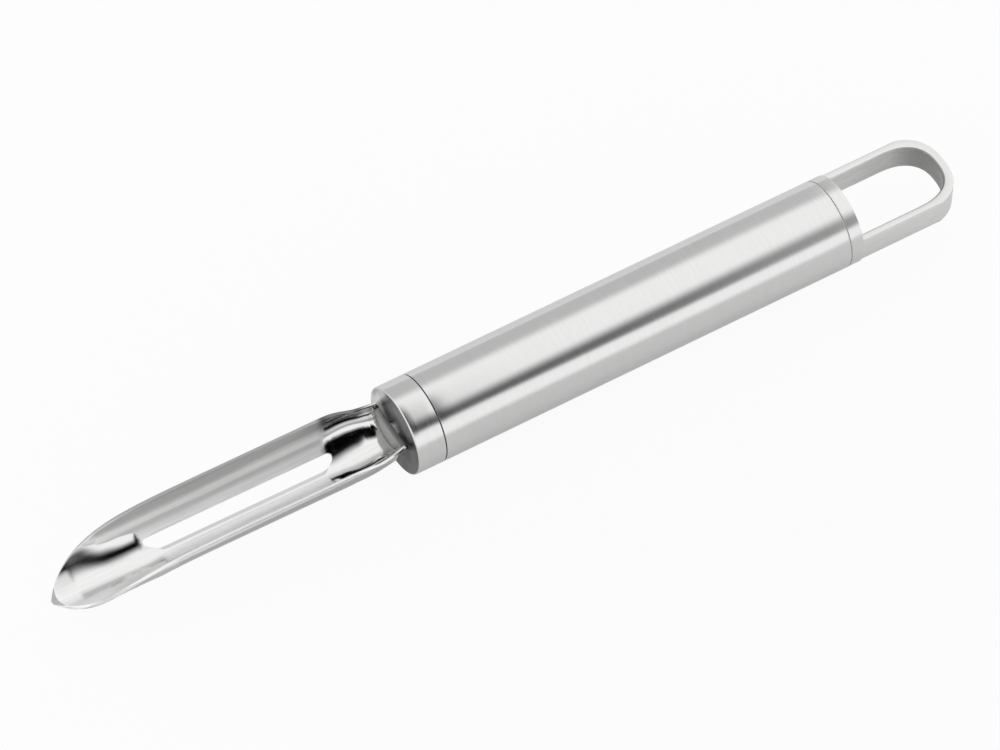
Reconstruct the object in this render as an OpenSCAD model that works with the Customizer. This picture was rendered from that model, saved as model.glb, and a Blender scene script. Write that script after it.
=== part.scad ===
// Vegetable peeler with a round tubular handle, a hanging loop and a swivelling
// spoon-tipped blade. Sizes are in millimetres.
// The part lies on its handle: +X runs along the handle towards the loop, the
// blade's trough opens towards +Z, and the origin is under the middle of the part.

/* [Handle] */
// Outer diameter of the tube, the collar and the rear cap
handle_d = 18; // [15:0.5:24]
// Wall of the handle tube
tube_wall = 1; // [0.6:0.1:1.6]
// Length of the handle tube between its two joint lines
tube_len = 89.2; // [60:0.2:120]
// Length of the visible collar in front of the tube
collar_len = 5.9; // [4:0.1:9]
// Length of the round part of the rear cap behind the tube
cap_len = 2.6; // [1.5:0.1:6]
// Width of each joint line filled with adhesive
joint_line = 0.25; // [0.15:0.05:0.5]
// Depth of each joint line below the handle's surface
joint_depth = 0.25; // [0.2:0.05:0.4]
// Length of the front spigot inside the tube
front_spigot_len = 12; // [10:0.5:24]
// Length of the rear spigot inside the tube
rear_spigot_len = 10; // [6:0.5:20]
// Gap between a spigot and the tube, filled with adhesive
bond_gap = 0.05; // [0.02:0.01:0.1]
// Chamfer around the front face of the collar
edge_chamfer = 0.35; // [0.2:0.05:0.8]
// Chamfer of the edges beside each joint line
broken_edge = 0.15; // [0.05:0.05:0.3]

/* [Hanging loop] */
// Length of the loop behind the rear cap
loop_len = 23.6; // [16:0.2:40]
// Thickness of the loop's arms at mid height
loop_arm_t = 2.1; // [1.2:0.1:3.5]
// Thickness of the loop at its end
loop_end_t = 1.8; // [1.2:0.1:3]
// Width of the loop's strip
loop_strip_w = 5.9; // [4:0.1:9]
// Length of the rounded end of the loop's opening
loop_round_len = 8.5; // [6:0.1:14]
// Squareness of the loop's rounded end: 2 is an ellipse
loop_square_share = 2.5; // [2:0.1:3.5]

/* [Blade] */
// Length of the blade from its neck to its tip
blade_len = 72.3; // [55:0.1:95]
// Overall width of the trough
blade_w = 14.9; // [12:0.1:18]
// Thickness of the blade's sheet
blade_t = 0.75; // [0.5:0.05:1]
// Height of the trough's rim above the handle's axis, at the neck's end of the slot
rim_neck_z = 3.8; // [3:0.1:6]
// Height of the trough's rim above the handle's axis, at the tip's end of the slot
rim_tip_z = 4.4; // [3:0.1:6]
// Underside of the trough below the axis, at the neck's end of the slot
trough_neck_drop = 3.5; // [2.6:0.1:4.2]
// Underside of the trough below the axis, at the tip's end of the slot
trough_tip_drop = 2.8; // [2:0.1:4]
// Clearance between the blade's neck and the face of the collar
neck_gap = 1; // [0.6:0.1:2]
// Width across the neck at its end
neck_w = 12; // [11:0.1:14]
// Underside of the neck below the axis
neck_drop = 3; // [2.6:0.1:4]
// Height of the neck's rim above the axis, at the neck's end
neck_rim_z = 2.9; // [2:0.1:4]
// How far the rim dips where the neck meets the shoulder
rim_dip = 0.5; // [0:0.1:1]
// Length over which the neck widens to the trough
shoulder_len = 7; // [5:0.1:10]
// Distance from the neck's end at which the trough has reached its full depth
neck_ramp_len = 12.5; // [11:0.1:16]

/* [Blade tip] */
// Depth of the tip's point below the axis
tip_drop = 2.5; // [1.5:0.1:4]
// Extra depth of the spoon behind the point
spoon_drop = 0.2; // [0.1:0.05:1]
// Length of the spoon from the point to the trough
spoon_len = 19.6; // [15:0.1:26]
// Length over which the point's outline rounds out to the full width
tip_round_len = 22; // [16:0.5:30]
// Fullness of the point's outline: larger is blunter
tip_round_share = 4.6; // [3:0.1:6]
// Distance behind the point at which most of the rim's rise is done
tip_rise_len = 12.2; // [9:0.1:18]
// Length of the facet ground on the point
tip_grind_len = 1.5; // [1:0.1:3]

/* [Cutting slot] */
// Width of the slot between the two cutting edges
slot_w = 2.95; // [2.4:0.05:4]
// How far the slot's middle lies up the +Y side, measured round the underside
slot_side = 2.35; // [1.8:0.05:3]
// Length of the slot
slot_len = 40.5; // [30:0.5:44]
// Distance from the neck's end to the slot
slot_start = 11.05; // [10:0.05:16]
// Length over which the edge by the trough's middle runs out at each end of the slot
slot_run = 3.4; // [2:0.1:5]
// Width of the ground bevel beside each cutting edge
grind_w = 1.2; // [0.6:0.1:1.8]

/* [Swivel] */
// Diameter of the pivot shaft
shaft_d = 4; // [3:0.1:5]
// Running clearance between the shaft and its bush, on the radius
running_gap = 0.05; // [0.02:0.01:0.1]
// Outer diameter of the bush
bush_d = 7; // [6:0.1:9]
// How far the blade swings each way
swing = 20; // [10:1:30]
// Thickness of the end plate that closes the neck
plate_t = 1.2; // [0.8:0.1:1.8]
// Height of the end plate's flat top above the axis
plate_top_z = 2; // [1.7:0.1:2.6]
// Clearance between the end plate and the face of the collar
plate_gap = 0.5; // [0.3:0.05:0.6]
// Diameter of the stop pin through the shaft
stop_d = 1.6; // [1:0.1:2]
// Length of the stop pin
stop_len = 10; // [8:0.2:12]
// Thickness of the thrust washer
washer_t = 0.8; // [0.5:0.1:1.5]
// Thickness of the retaining ring
ring_t = 0.8; // [0.5:0.1:1.2]

/* [Hidden] */

// Fineness of round parts
$fn = 96;
// Overrun of every cut past the face that it opens
over = 0.5;
// Gap between welded or pressed pieces of one body
seat_gap = 0.02;
// End play of the shaft between its washer and its ring
end_play = 0.15;

handle_r = handle_d / 2;
tube_r = handle_r - tube_wall;
spigot_r = tube_r - bond_gap;
shaft_r = shaft_d / 2;
bush_r = bush_d / 2;

// Places along the handle, measured from the front face of the collar
tube_start = collar_len + joint_line;
tube_end = tube_start + tube_len;
cap_start = tube_end + joint_line;
cap_end = cap_start + cap_len;
loop_end = cap_end + loop_len;
spigot_end = tube_start + front_spigot_len;

// Places along the blade, on the same axis
neck_end = -neck_gap;
tip_x = neck_end - blade_len;
slot_front = neck_end - slot_start;
slot_back = slot_front - slot_len;

// The part's own origin: under the middle of its length
middle_x = (tip_x + loop_end) / 2;

// Smooth step from 0 to 1 while t goes from 0 to 1
function ease(t) = let (u = min(max(t, 0), 1)) u * u * (3 - 2 * u);
function mix(a, b, t) = a + (b - a) * t;

// Form of the blade at the place x along the handle's axis
half_w = blade_w / 2;
neck_half_w = neck_w / 2;
// Power of the rim's rise behind the point
rise_share = 1.8;
// Length of the spoon over which its deepest line rises to the point
keel_len = spoon_len / 3;
// Least depth of the spoon beside its half width, at the point
spoon_edge_share = 0.12;
// Distances from the neck's end: where the rim dips most, where it is back at full height,
// and where the underside leaves the neck's level
rim_dip_at = shoulder_len * 0.55;
rim_full_at = shoulder_len * 1.4;
ramp_at = shoulder_len * 0.8;
// Steepest slope of the sides, in degrees
wall_angle = 88;
// Slope of the sides beside the one of an arc that would end level with the rim
arc_share = 1.06;
// Radius of the section beside the one that leaves no straight side or no flat bottom
radius_share = 0.92;

// Length by which the blunted point falls short of a sharp one, and its thickness
point_len = blade_t * 0.4;
point_t = blade_t / 5;
function from_tip(x) = x - tip_x + point_len;
function from_neck(x) = neck_end - x;
// Half of the blade's width
function width_at(x) =
    let (tip = 1 - pow(max(0, 1 - from_tip(x) / tip_round_len), tip_round_share))
    let (shoulder = min(1, from_neck(x) / shoulder_len))
    tip * mix(neck_half_w, half_w, shoulder);
// Share of the way along the slot, from its neck's end to its tip's end
function along_slot(x) = (slot_front - x) / slot_len;
// Height of the rim
function rim_at(x) =
    let (rise = 1 - exp(-pow(from_tip(x) / tip_rise_len, rise_share)))
    let (climb = ease((from_neck(x) - rim_dip_at) / (rim_full_at - rim_dip_at)))
    let (dip = rim_dip * ease(from_neck(x) / rim_dip_at) * (1 - climb))
    let (full = mix(rim_neck_z, rim_tip_z, along_slot(x)))
    mix(-tip_drop, mix(neck_rim_z, full, climb) - dip, rise);
// Height of the trough's underside, without the spoon and the neck
function trough_at(x) = -mix(trough_neck_drop, trough_tip_drop, along_slot(x));
// Share of the neck's form, and of the spoon's form, at x
function neck_share(x) = 1 - ease((from_neck(x) - ramp_at) / (neck_ramp_len - ramp_at));
function spoon_share(x) = 1 - ease((from_tip(x) - keel_len) / (spoon_len - keel_len));
// Underside of the blade on its middle line
function keel_at(x) =
    let (spoon = tip_drop + spoon_drop * ease(from_tip(x) / keel_len))
    let (trough = mix(trough_at(x), -spoon, spoon_share(x)))
    min(mix(trough, -neck_drop, neck_share(x)), rim_at(x) - width_at(x) * spoon_edge_share);
// Height of the facet ground on the point, which cuts the sheet off
function facet_at(x) = point_t - tip_drop + (x - tip_x) * blade_t / tip_grind_len;

// Distance from x to the nearer end of the slot
function into_slot(x) = min(slot_front - x, x - slot_back);
// Share of a slot edge's full distance from the seam at x, when it runs out over the length run
function edge_share(x, run) =
    let (left = max(0, 1 - into_slot(x) / run))
    into_slot(x) < seat_gap ? 0 : sqrt(max(0, 1 - left * left));
// The two strips of the blade meet on a seam beyond the slot's ends, and the slot's edges lie on both
// sides of it: all are measured round the underside from the middle line
seam_share = 0.72;
slot_inner = slot_side - slot_w / 2;
seam = slot_inner + slot_w * seam_share;
far_run = slot_w / 3;
function seam_at(x) = seam * width_at(x) / half_w;
// Slot's edge on the strip that carries the +Y rim, for side 0, or the -Y rim, for side 1
function edge_at(x, side) = side == 0
    ? seam_at(x) + slot_w * (1 - seam_share) * edge_share(x, far_run)
    : seam_at(x) - slot_w * seam_share * edge_share(x, slot_run);
// Width of the bevel beside each cutting edge, which runs out with the slot
function bevel_at(x) = grind_w * ease((into_slot(x) - far_run) / (slot_run - far_run));

// Section of the blade at x: half of its flat bottom, the radius and the slope of its sides,
// the length of their straight part and the height of the underside
function section_at(x) =
    let (w = width_at(x))
    let (z0 = keel_at(x))
    let (h = rim_at(x) - z0)
    let (angle = min(wall_angle, 2 * atan(h / w) * arc_share))
    let (r = min(h / (1 - cos(angle)), (w - h / tan(angle)) / tan(angle / 2)) * radius_share)
    let (wall = (h - r * (1 - cos(angle))) / sin(angle))
    [w - r * sin(angle) - wall * cos(angle), r, angle, wall, z0];
// Length of the underside from the middle line to the rim
function girth(section) = section[0] + section[1] * section[2] * PI / 180 + section[3];
// Point of the face that lies inset from the underside, at the distance s round it from the middle line
function on_face(section, s, inset) =
    let (round_part = (abs(s) - section[0]) * 180 / PI / section[1])
    let (a = min(max(round_part, 0), section[2]))
    let (straight = max(0, abs(s) - section[0] - section[1] * section[2] * PI / 180))
    let (y = min(abs(s), section[0]) + (section[1] - inset) * sin(a) + straight * cos(a))
    [s < 0 ? -y : y, section[4] + section[1] - (section[1] - inset) * cos(a) + straight * sin(a)];
// Face of one strip at x, from the slot or the seam to its rim
strip_steps = 11;
function strip_face(x, side, inset) =
    let (section = section_at(x))
    let (end = (side == 0 ? 1 : -1) * girth(section))
    let (start = edge_at(x, side) + (inset > 0 ? sign(end) * bevel_at(x) : 0))
    [for (i = [0 : strip_steps])
        let (p = on_face(section, mix(start, end, i / strip_steps), inset))
        [x, p[0], min(p[1], facet_at(x))]];

// Distances from an end of the slot at which it has a section
end_steps = 7;
end_places = [for (i = [0 : end_steps]) slot_run * (1 - cos(90 * i / end_steps))];
// Places of the sections: close together on the spoon, the neck and the slot's ends
tip_steps = 17;
slot_steps = 4;
neck_steps = 13;
crowding_share = 1.4;
places = concat(
    [for (i = [0 : tip_steps - 1]) tip_x + (slot_back - tip_x) * pow(i / tip_steps, crowding_share)],
    [for (d = end_places) slot_back + d],
    [for (i = [1 : slot_steps - 1]) mix(slot_back + slot_run, slot_front - slot_run, i / slot_steps)],
    [for (d = reversed(end_places)) slot_front - d],
    [for (i = [1 : neck_steps]) slot_front + slot_start * i / neck_steps]
);

// Rings of points round each strip of the sheet: out along its outer face, back along its inner one
function reversed(list) = [for (i = [len(list) - 1 : -1 : 0]) list[i]];
function strip_ring(x, side) = concat(strip_face(x, side, 0), reversed(strip_face(x, side, blade_t)));
ring_n = 2 * (strip_steps + 1);
function open_at(k) = into_slot(places[k]) >= seat_gap;
// Number of the point j of the ring at place k; side 0 has the +Y rim, and both strips share the seam
function spot(k, side, j) =
    let (joined = (j == 0 || j == ring_n - 1) && !open_at(k))
    (2 * k + (joined ? 0 : side)) * ring_n + j;
// Two triangles over four points
function quad(a, b, c, d, turned) = turned ? [[a, c, b], [a, d, c]] : [[a, b, c], [a, c, d]];

// Sheet lofted through the sections, with the slot left open between its strips
module lofted_sheet() {
    last = len(places) - 1;
    sides = [for (k = [0 : last - 1], side = [0, 1], j = [0 : ring_n - 1])
        let (next = (j + 1) % ring_n)
        if (next > 0 || open_at(k) || open_at(k + 1))
            each quad(spot(k, side, j), spot(k, side, next), spot(k + 1, side, next), spot(k + 1, side, j), side == 0)];
    ends = [for (k = [0, last], side = [0, 1], j = [0 : ring_n / 2 - 2])
        let (back = ring_n - 1 - j)
        each quad(spot(k, side, j), spot(k, side, j + 1), spot(k, side, back - 1), spot(k, side, back),
                  (k == 0) == (side == 1))];
    polyhedron(points = [for (x = places, side = [0, 1]) each strip_ring(x, side)],
               faces = concat(sides, ends));
}

// Puts children, drawn on the handle's axis, into the part's frame
module placed() {
    translate([-middle_x, 0, handle_r]) children();
}

// Turned solid on the handle's axis; the profile holds [radius, x] points
module turned(profile) {
    rotate([90, 0, 90]) rotate_extrude() polygon(profile);
}

// Round bar along the handle's axis from x0 to x1
module bar(x0, x1, r) {
    translate([x0, 0, 0]) rotate([0, 90, 0]) cylinder(h = x1 - x0, r = r);
}

// Stamped blade: a half-round trough slotted up its +Y side, with a spoon tip and a rounded neck
module blade() {
    color("gainsboro") placed() lofted_sheet();
}

// Place and radius of the end plate inside the neck
plate_back = -plate_gap;
plate_front = plate_back - plate_t;
plate_r = neck_half_w - blade_t - seat_gap * 2;
plate_centre_z = neck_half_w - neck_drop;
tenon_r = shaft_r * 0.6;
tenon_len = plate_t * 0.6;

// End plate welded into the neck, flat on top, with a blind hole for the shaft's tenon
module end_plate() {
    color("silver") placed() difference() {
        intersection() {
            translate([0, 0, plate_centre_z]) bar(plate_front, plate_back, plate_r);
            translate([plate_front - over, -neck_w, plate_top_z - neck_w])
                cube([plate_t + over * 2, neck_w * 2, neck_w]);
        }
        bar(plate_back - tenon_len - seat_gap, plate_back + over, tenon_r + seat_gap);
    }
}

// Places of what the shaft carries inside the handle
stop_pocket_len = stop_d + end_play * 4;
pocket_start = spigot_end - stop_pocket_len;
stop_x = spigot_end - stop_pocket_len / 2;
washer_start = spigot_end + end_play;
washer_end = washer_start + washer_t;
ring_start = washer_end + end_play;
ring_end = ring_start + ring_t;
groove_r = shaft_r * 0.75;
shaft_end = ring_end + ring_t * 2;
shaft_chamfer = shaft_r / 5;

// Turned pivot shaft: tenon, journal, groove for the retaining ring and a cross hole
module pivot_shaft() {
    groove_start = ring_start - seat_gap * 2;
    groove_end = ring_end + seat_gap * 2;
    color("darkgray") placed() difference() {
        turned([
            [0, plate_back - tenon_len], [tenon_r, plate_back - tenon_len], [tenon_r, plate_back],
            [shaft_r, plate_back],
            [shaft_r, groove_start], [groove_r, groove_start], [groove_r, groove_end], [shaft_r, groove_end],
            [shaft_r, shaft_end - shaft_chamfer], [shaft_r - shaft_chamfer, shaft_end], [0, shaft_end]
        ]);
        translate([stop_x, shaft_d, 0]) rotate([90, 0, 0]) cylinder(h = shaft_d * 2, d = stop_d + seat_gap * 2);
    }
}

// Cross pin that swings in the cap's pocket and stops the blade
module stop_pin() {
    color("dimgray") placed()
        translate([stop_x, stop_len / 2, 0]) rotate([90, 0, 0]) cylinder(h = stop_len, d = stop_d);
}

// Open ring that sits in the shaft's groove
module retaining_ring() {
    ring_r = shaft_r * 1.9;
    mouth = groove_r * 1.2;
    color("dimgray") placed() difference() {
        bar(ring_start, ring_end, ring_r);
        bar(ring_start - over, ring_end + over, groove_r + seat_gap);
        translate([ring_start - over, -mouth / 2, 0]) cube([ring_t + over * 2, mouth, ring_r * 2]);
    }
}

// Pocket at the back of the front cap, in which the stop pin swings
pocket_r = stop_len / 2 + end_play * 3;
module stop_pocket() {
    stop_angle = swing + asin((stop_d / 2 + running_gap * 2) / bush_r);
    reach = pocket_r * 2;
    half = [reach * cos(stop_angle), reach * sin(stop_angle)];
    intersection() {
        bar(pocket_start, spigot_end + over, pocket_r);
        union() {
            bar(pocket_start - over, spigot_end + over * 2, bush_r);
            translate([pocket_start - over, 0, 0]) rotate([90, 0, 90]) linear_extrude(stop_pocket_len + over * 3) {
                polygon([[0, 0], half, [half[0], -half[1]]]);
                polygon([[0, 0], [-half[0], half[1]], [-half[0], -half[1]]]);
            }
        }
    }
}

// Collar and spigot in one turned piece, bored for the bush and the shaft
face_wall = collar_len / 4;
module front_cap() {
    color("silver") placed() difference() {
        turned([
            [0, 0], [handle_r - edge_chamfer, 0], [handle_r, edge_chamfer],
            [handle_r, collar_len - broken_edge], [handle_r - broken_edge, collar_len],
            [spigot_r, collar_len], [spigot_r, spigot_end], [0, spigot_end]
        ]);
        bar(-over, spigot_end + over, shaft_r + running_gap * 3);
        bar(face_wall, spigot_end + over, bush_r);
        stop_pocket();
    }
}

// Bush pressed into the front cap, in which the shaft turns
module pivot_bush() {
    color("darkgoldenrod") placed() difference() {
        bar(face_wall, pocket_start - end_play, bush_r - seat_gap);
        bar(face_wall - over, pocket_start + over, shaft_r + running_gap);
    }
}

// Washer behind the front cap, against which the retaining ring runs
module thrust_washer() {
    color("khaki") placed() difference() {
        bar(washer_start, washer_end, (pocket_r + tube_r) / 2);
        bar(washer_start - over, washer_end + over, shaft_r + running_gap * 3);
    }
}

// Line of cured adhesive between the tube and a cap, set a little below the surface
module joint_ring(x0) {
    color("dimgray") placed() difference() {
        bar(x0, x0 + joint_line, handle_r - joint_depth);
        bar(x0 - over, x0 + joint_line + over, spigot_r);
    }
}
module front_joint_ring() {
    joint_ring(collar_len);
}
module rear_joint_ring() {
    joint_ring(tube_end);
}

// Brushed tube that forms the grip
module handle_tube() {
    color("lightgray") placed() turned([
        [tube_r, tube_start], [handle_r - broken_edge, tube_start], [handle_r, tube_start + broken_edge],
        [handle_r, tube_end - broken_edge], [handle_r - broken_edge, tube_end], [tube_r, tube_end]
    ]);
}

// Outline of a strip that runs back from the cap and ends in a rounded end
loop_round_steps = 36;
module loop_outline(half, end_x, start_x, round_len) {
    power = 2 / loop_square_share;
    polygon(concat(
        [[start_x, -half]],
        [for (i = [0 : loop_round_steps])
            let (a = -90 + 180 * i / loop_round_steps)
            [end_x - round_len + round_len * pow(cos(a), power), half * sign(sin(a)) * pow(abs(sin(a)), power)]],
        [[start_x, half]]
    ));
}

// Rear cap, its spigot and the hanging loop, cut from one round bar
module rear_cap_with_loop() {
    inner_half = handle_r - loop_arm_t;
    inner_end = loop_end - loop_end_t;
    color("silver") placed() {
        turned([
            [0, tube_end - rear_spigot_len], [spigot_r, tube_end - rear_spigot_len], [spigot_r, cap_start],
            [handle_r - broken_edge, cap_start], [handle_r, cap_start + broken_edge],
            [handle_r, cap_end], [0, cap_end]
        ]);
        intersection() {
            bar(cap_end, loop_end + over, handle_r);
            translate([0, 0, -loop_strip_w / 2]) linear_extrude(loop_strip_w) difference() {
                loop_outline(handle_r, loop_end, cap_end, loop_round_len + loop_end_t);
                loop_outline(inner_half, inner_end, cap_end - over, loop_round_len);
            }
        }
    }
}

blade();
end_plate();
pivot_shaft();
stop_pin();
retaining_ring();
front_cap();
pivot_bush();
thrust_washer();
front_joint_ring();
handle_tube();
rear_joint_ring();
rear_cap_with_loop();
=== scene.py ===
"""Vegetable peeler on a pale floor: swivelling blade, round brushed handle and hanging loop.

Every length is in metres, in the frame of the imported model. The handle's axis runs along X, the
blade's trough opens towards +Z, and the pieces that the model already shapes well keep their mesh
and get a finish only.
"""

import logging
import math
from collections.abc import Callable, Iterable, Sequence
from dataclasses import dataclass
from enum import Enum
from functools import cached_property
from typing import TypeAlias

import bmesh
import bpy
from bpy.types import ID, Material, Mesh, Node, NodeSocket, NodeTree, Object
from mathutils import Matrix, Vector


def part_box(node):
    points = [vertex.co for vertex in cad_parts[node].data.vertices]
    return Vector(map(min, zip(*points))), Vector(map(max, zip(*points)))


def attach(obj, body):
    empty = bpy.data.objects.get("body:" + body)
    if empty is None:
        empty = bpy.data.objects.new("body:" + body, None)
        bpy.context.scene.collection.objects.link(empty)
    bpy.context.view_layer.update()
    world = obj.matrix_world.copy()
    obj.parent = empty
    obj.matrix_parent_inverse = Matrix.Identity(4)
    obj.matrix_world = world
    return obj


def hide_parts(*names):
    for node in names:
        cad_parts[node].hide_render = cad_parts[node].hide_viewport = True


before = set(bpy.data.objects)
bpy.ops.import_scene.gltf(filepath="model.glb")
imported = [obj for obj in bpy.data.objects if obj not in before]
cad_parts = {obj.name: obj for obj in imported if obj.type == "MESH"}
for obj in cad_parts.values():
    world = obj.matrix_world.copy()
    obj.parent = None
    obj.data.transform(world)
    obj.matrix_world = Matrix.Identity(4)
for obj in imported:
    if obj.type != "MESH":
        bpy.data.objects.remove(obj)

LOG = logging.getLogger("peeler")
MM = 0.001
MERGE = 1e-7
QUARTER_TURN = 0.25

Pair = tuple[float, float]
Triple = tuple[float, float, float]
Input: TypeAlias = "Value | NodeSocket | float | tuple"


class Body(Enum):
    """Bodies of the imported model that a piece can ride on."""

    HANDLE = "handle"
    BLADE = "swivel_blade"


class Slot(Enum):
    """Material slots of the record, one for each kind of dressed piece."""

    POLISHED = "polished_steel"
    BRUSHED = "brushed_steel"


class Grain(Enum):
    """Direction in which a steel surface was brushed."""

    ROUND_AXIS = "round"
    ALONG_AXIS = "along"


def ease(t: float) -> float:
    """Smooth step from 0 to 1 while t goes from 0 to 1."""
    u = min(max(t, 0.0), 1.0)
    return u * u * (3 - 2 * u)


def mix(a: float, b: float, t: float) -> float:
    """Value at the share t of the way from a to b."""
    return a + (b - a) * t


def rgba(colour: Triple, share: float = 1.0) -> tuple[float, ...]:
    """A colour times a share, with full alpha."""
    return tuple(c * share for c in colour) + (1.0,)


class Value:
    """What a node gives out, with sums, products and smooth steps in plain notation."""

    def __init__(self, board: "Board", socket: NodeSocket) -> None:
        """Keeps the board and the node's output."""
        self.board = board
        self.socket = socket

    def __add__(self, other: Input) -> "Value":
        """Sum with another value."""
        return self.board.math("ADD", self, other)

    def __sub__(self, other: Input) -> "Value":
        """This value less another one."""
        return self.board.math("SUBTRACT", self, other)

    def __rsub__(self, other: float) -> "Value":
        """A plain number less this value."""
        return self.board.math("SUBTRACT", other, self)

    def __mul__(self, other: Input) -> "Value":
        """Product with another value."""
        return self.board.math("MULTIPLY", self, other)

    def __truediv__(self, other: Input) -> "Value":
        """This value divided by another one."""
        return self.board.math("DIVIDE", self, other)

    def most(self, other: Input) -> "Value":
        """The larger of two values."""
        return self.board.math("MAXIMUM", self, other)

    def span(self, low: float, high: float, to_low: float = 0.0, to_high: float = 1.0) -> "Value":
        """Maps the range from low to high onto the other one through a smooth step."""
        return self.board.value("ShaderNodeMapRange", {0: self, 1: low, 2: high, 3: to_low, 4: to_high},
                                interpolation_type="SMOOTHSTEP")

    def vary(self, low: float, high: float, margin: float = 0.3) -> "Value":
        """Spreads a noise value from low to high, which it reaches a margin inside 0 and 1."""
        return self.span(margin, 1 - margin, low, high)

    def swing(self, reach: float) -> "Value":
        """Spreads a noise value from -reach to reach."""
        return self.vary(-reach, reach)

    def ramp(self, stops: Sequence[Pair]) -> "Value":
        """Maps the value through a row of stops, straight from one to the next.

        Args:
            stops: pairs of a value and its result, in rising order.

        Returns:
            The mapped value.
        """
        first, last = stops[0], stops[-1]
        share = self.board.value("ShaderNodeMapRange", {0: self, 1: first[0], 2: last[0]})
        node = self.board.add("ShaderNodeValToRGB", {0: share})
        elements = node.color_ramp.elements
        elements[0].color, elements[1].color = rgba((first[1],) * 3), rgba((last[1],) * 3)
        for place, tone in stops[1:-1]:
            elements.new((place - first[0]) / (last[0] - first[0])).color = rgba((tone,) * 3)
        return Value(self.board, node.outputs[0])


class Board:
    """A node tree with short calls that add and join nodes."""

    def __init__(self, tree: NodeTree) -> None:
        """Clears the tree of a material, a world or a geometry group."""
        self.tree = tree
        tree.nodes.clear()

    def add(self, kind: str, inputs: dict | None = None, **settings: object) -> Node:
        """Adds a node.

        Args:
            kind: Blender's name of the node type.
            inputs: numbers, values or sockets for its inputs, by name or number.
            **settings: properties of the node.

        Returns:
            The new node.
        """
        node = self.tree.nodes.new(kind)
        for name, setting in settings.items():
            setattr(node, name, setting)
        for key, given in (inputs or {}).items():
            source = given.socket if isinstance(given, Value) else given
            if isinstance(source, NodeSocket):
                self.tree.links.new(source, node.inputs[key])
            else:
                node.inputs[key].default_value = source
        return node

    def value(self, kind: str, inputs: dict | None = None, output: int | str = 0,
              **settings: object) -> Value:
        """Adds a node as add does, and gives one of its outputs as a value."""
        return Value(self, self.add(kind, inputs, **settings).outputs[output])

    def math(self, operation: str, *values: Input) -> Value:
        """Adds a Math node with its inputs in order."""
        return self.value("ShaderNodeMath", dict(enumerate(values)), operation=operation)

    def vector(self, operation: str, *values: Input) -> Value:
        """Adds a Vector Math node with its inputs in order."""
        return self.value("ShaderNodeVectorMath", dict(enumerate(values)), operation=operation)

    def axes(self, place: Input) -> list[Value]:
        """Splits a place into its X, Y and Z."""
        split = self.add("ShaderNodeSeparateXYZ", {0: place})
        return [Value(self, socket) for socket in split.outputs]

    def glow(self, kind: str, strength: Input) -> Node:
        """Adds a white emission or background of a strength."""
        return self.add(kind, {"Color": rgba((1.0, 1.0, 1.0)), "Strength": strength})

    def on_rays(self, *kinds: str) -> Value:
        """Adds a value that is 1 on rays of the given kinds.

        Args:
            *kinds: names of one or two of Light Path's outputs.

        Returns:
            The value.
        """
        path = self.add("ShaderNodeLightPath").outputs
        shares = [Value(self, path[kind]) for kind in kinds]
        return shares[0].most(shares[1]) if len(shares) > 1 else shares[0]


class Finish(Board):
    """Board of a new material, with the calls that the finishes share."""

    def __init__(self, name: str, axis_z: float = 0.0) -> None:
        """Makes the material.

        Args:
            name: name of the material.
            axis_z: height of the axis that its pieces lie round.
        """
        self.axis_z = axis_z
        self.material = bpy.data.materials.new(name)
        self.material.use_nodes = True
        super().__init__(self.material.node_tree)

    @cached_property
    def place(self) -> NodeSocket:
        """Place on the piece, from its Object coordinates."""
        return self.add("ShaderNodeTexCoord").outputs["Object"]

    @cached_property
    def spot(self) -> tuple[Value, Value, Value]:
        """The place's X and Y, and its height above the axis."""
        x, y, z = self.axes(self.place)
        return x, y, z - self.axis_z

    @cached_property
    def around(self) -> Value:
        """Direction round the axis, from which the blur of reflections is turned."""
        return self.vector("CROSS_PRODUCT", self.vector("SUBTRACT", self.place, (0.0, 0.0, self.axis_z)),
                           (1.0, 0.0, 0.0))

    def noise(self, scale: Sequence[float], detail: float, place: "Input | None" = None) -> Value:
        """Adds noise with so many cells per metre along each axis, mostly from 0.2 to 0.8."""
        mapped = self.value("ShaderNodeMapping", {"Vector": place or self.place, "Scale": tuple(scale)})
        return self.value("ShaderNodeTexNoise", {"Vector": mapped, "Scale": 1.0, "Detail": detail})

    def blend(self, share: Input, first: Input, second: Input, **settings: object) -> Value:
        """Adds a mix of two colours, which is the second one where the share is 1."""
        return self.value("ShaderNodeMix", {0: share, 6: first, 7: second}, 2, data_type="RGBA", **settings)

    def toned(self, colour: Input, tone: Input) -> Value:
        """Adds a colour times a tone."""
        return self.blend(1.0, colour, tone, blend_type="MULTIPLY")

    def relief(self, height: Value, strength: float, depth: float) -> Value:
        """Adds a bump that follows a height, as a normal."""
        return self.value("ShaderNodeBump", {"Strength": strength, "Distance": depth, "Height": height})

    def shaded(self, inputs: dict) -> Material:
        """Ends the material with a Principled shader of these inputs."""
        return self.surface(self.add("ShaderNodeBsdfPrincipled", inputs))

    def mixed(self, share: Value, first: Node, second: Node) -> Material:
        """Ends the material with a mix of two shaders, which is the second one where the share is 1."""
        shaders = {0: share, 1: first.outputs[0], 2: second.outputs[0]}
        return self.surface(self.add("ShaderNodeMixShader", shaders))

    def surface(self, shader: Node) -> Material:
        """Ends the material with a shader."""
        self.add("ShaderNodeOutputMaterial", {"Surface": shader.outputs[0]})
        return self.material


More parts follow.
